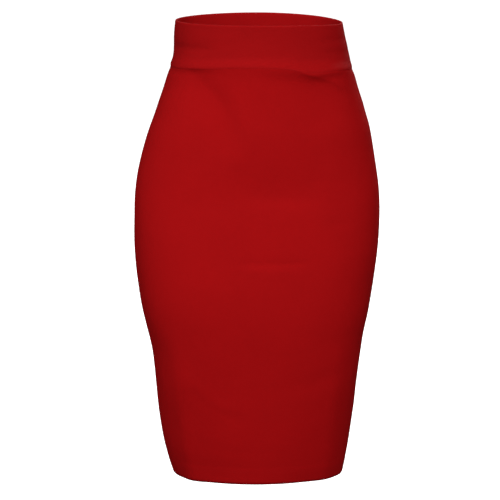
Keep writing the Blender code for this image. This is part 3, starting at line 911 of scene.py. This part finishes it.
threads = [
    ring_thread("waist_overlock_loops", band_form,
                lambda s: BAND_HEIGHT - WAIST_OVERLOCK.edge + WAIST_OVERLOCK.width * zigzag(s),
                lambda s: (WAIST_ALLOWANCE[0].depth
                           + ALLOWANCE_THICK / 2 * np.clip(WRAP * zigzag(s) - 1, -1, 1))),
    ring_thread("waist_overlock_needle_line", band_form,
                lambda s: BAND_HEIGHT - WAIST_OVERLOCK.needle + 0 * s,
                lambda s: NEEDLE_MIDDLE + ALLOWANCE_THICK / 2 - dip(s)),
    ring_thread("hem_overlock_loops", panel_form,
                lambda s: TURNED_EDGE + HEM_OVERLOCK.edge + HEM_OVERLOCK.width * zigzag(s),
                lambda s: TURNED_FACE - CLOTH + CLOTH * np.clip(WRAP * zigzag(s), 0, 1)),
    ring_thread("hem_overlock_needle_line", panel_form,
                lambda s: TURNED_EDGE + HEM_OVERLOCK.needle + 0 * s,
                lambda s: TURNED_FACE - dip(s)),
    ring_thread("hem_blind_stitches", panel_form,
                lambda s: TURNED_EDGE + BLIND_BELOW + 0 * s,
                lambda s: BLIND_DEPTH - catch(s),
                BLIND_PITCH, FINE_THREAD),
]
for side, seam in (("left", HALF), ("right", RING)):
    threads.append(side_thread(
        f"side_overlock_loops_{side}", seam,
        lambda s: SIDE_OVERLOCK.edge - SIDE_OVERLOCK.width * zigzag(s),
        lambda s: SIDE_FACE - SIDE_WRAP * np.clip(1 - WRAP * zigzag(s), 0, 1)))
    threads.append(side_thread(
        f"side_overlock_needle_line_{side}", seam,
        lambda s: SIDE_OVERLOCK.needle + 0 * s,
        lambda s: SIDE_FACE - dip(s)))
for obj in threads:
    obj.data.materials.append(red_thread)
    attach(obj, "root")

# ---------------------------------------------------------------- studio

FLOOR = -1.140              # where a standing wearer's floor lies, from the waist edge
COVE_FLAT = 7.0             # out to where the floor begins to curve
COVE_CURVE = 3.0            # radius of that curve
COVE_HIGH = 9.0             # from the floor to the top of the wall
FLAT_STEPS, CURVE_STEPS, ROUND_STEPS = 11, 16, 96


def studio_cove():
    """A round white studio: a flat floor that curves up into a wall, a profile turned about Z."""
    flat = np.linspace(0.0, COVE_FLAT, FLAT_STEPS + 1)[:-1]
    swing = np.linspace(0, math.pi / 2, CURVE_STEPS + 1)
    reach = np.concatenate([flat, COVE_FLAT + COVE_CURVE * np.sin(swing),
                            [COVE_FLAT + COVE_CURVE]])
    height = np.concatenate([0 * flat, COVE_CURVE * (1 - np.cos(swing)), [COVE_HIGH]]) + FLOOR
    turn = np.linspace(0, 2 * math.pi, ROUND_STEPS + 1)
    points = np.stack([reach[:, None] * np.cos(turn), reach[:, None] * np.sin(turn),
                       height[:, None] + 0 * turn], -1)
    index = np.arange(points.shape[0] * points.shape[1]).reshape(points.shape[:2])
    return put_mesh("studio_cove", points.reshape(-1, 3), grid_quads(index)[:, ::-1])


PAPER = (0.9, 0.9, 0.9, 1.0)
PAPER_ROUGHNESS = 0.9
PAPER_GLOW = 0.95           # keeps the studio evenly pale, whatever the lights do


def paper_material():
    """Matt studio paper with an even white glow of its own."""
    material = bpy.data.materials.new("studio_paper")
    material.use_nodes = True
    shader = material.node_tree.nodes["Principled BSDF"]
    for label, value in (("Base Color", PAPER), ("Roughness", PAPER_ROUGHNESS),
                         ("Specular IOR Level", 0.0), ("Emission Color", (1.0, 1.0, 1.0, 1.0)),
                         ("Emission Strength", PAPER_GLOW)):
        shader.inputs[label].default_value = value
    return material


cove = studio_cove()
cove.data.materials.append(paper_material())
cove.visible_diffuse = False
cove.visible_glossy = False
cove.visible_shadow = False

world = bpy.data.worlds.new("studio_air")
world.use_nodes = True
world.node_tree.nodes["Background"].inputs["Color"].default_value = (1.0, 1.0, 1.0, 1.0)
world.node_tree.nodes["Background"].inputs["Strength"].default_value = 0.0
bpy.context.scene.world = world

# Soft lights: how far each is turned from the front (positive to the right of someone facing it)
# and raised above level, both in degrees, and its power in watts.
Lamp = namedtuple("Lamp", "name turned raised power")

LAMPS = (
    Lamp("key_softbox", 20, 32, 269.0),
    Lamp("left_softbox", -40, 32, 151.0),
    Lamp("far_left_softbox", -75, 28, 80.0),
    Lamp("right_softbox", 75, 0, 27.0),
    Lamp("back_softbox", 165, 36, 240.0),
)
SOFTBOX = 2.6               # width and height of each
LAMP_DISTANCE = 6.5         # from the middle of the skirt

for lamp in LAMPS:
    light = bpy.data.lights.new(lamp.name, "AREA")
    light.shape = "RECTANGLE"
    light.size, light.size_y, light.energy = SOFTBOX, SOFTBOX, lamp.power
    holder = bpy.data.objects.new(lamp.name, light)
    turned, raised = math.radians(lamp.turned), math.radians(lamp.raised)
    holder.location = (LAMP_DISTANCE * math.cos(raised) * math.sin(turned),
                       -LAMP_DISTANCE * math.cos(raised) * math.cos(turned),
                       LAMP_DISTANCE * math.sin(raised) - LENGTH / 2)
    holder.rotation_euler = (math.pi / 2 - raised, 0.0, turned)
    bpy.context.scene.collection.objects.link(holder)

CAMERA_PLACE = (-0.0107, -5.0, 0.57)
CAMERA_DOWN = 10.402        # degrees it looks down below level
CAMERA_LENS = 244.25        # focal length in millimetres, on a sensor 36 wide

camera = bpy.data.cameras.new("camera")
camera.lens = CAMERA_LENS
camera.sensor_width = 36.0
camera_holder = bpy.data.objects.new("camera", camera)
camera_holder.location = CAMERA_PLACE
camera_holder.rotation_euler = (math.radians(90 - CAMERA_DOWN), 0.0, 0.0)
bpy.context.scene.collection.objects.link(camera_holder)
bpy.context.scene.camera = camera_holder
bpy.context.scene.view_settings.view_transform = "Standard"
